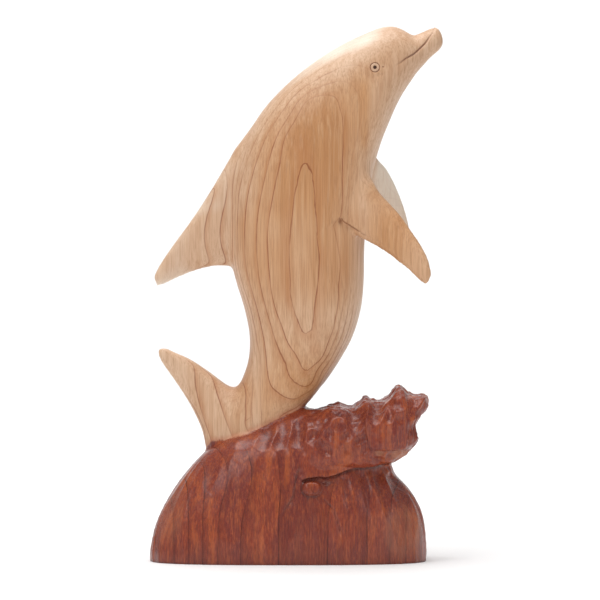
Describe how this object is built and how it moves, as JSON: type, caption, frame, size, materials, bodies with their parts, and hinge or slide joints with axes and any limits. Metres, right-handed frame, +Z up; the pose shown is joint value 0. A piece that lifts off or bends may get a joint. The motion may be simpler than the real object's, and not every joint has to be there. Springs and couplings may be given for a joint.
{
  "type": "wooden dolphin sculpture",
  "caption": "Dolphin leaping upright out of a stained wave, carved in pale wood from one block that stands on its flat underside.",
  "frame": {"origin": "middle of the base's flat underside", "axes": "+Z up; +X to the dolphin's belly and beak side, along the block's length; +Y through the block's thickness, away from the viewer"},
  "size_m": [0.1634, 0.0766, 0.2983],
  "materials": {
    "carved_wood": "pale close-grained wood, oiled to a low sheen, with the wave stained red-brown"
  },
  "bodies": {
    "root": {"dolphin_on_wave": "carved_wood"}
  },
  "joints": []
}
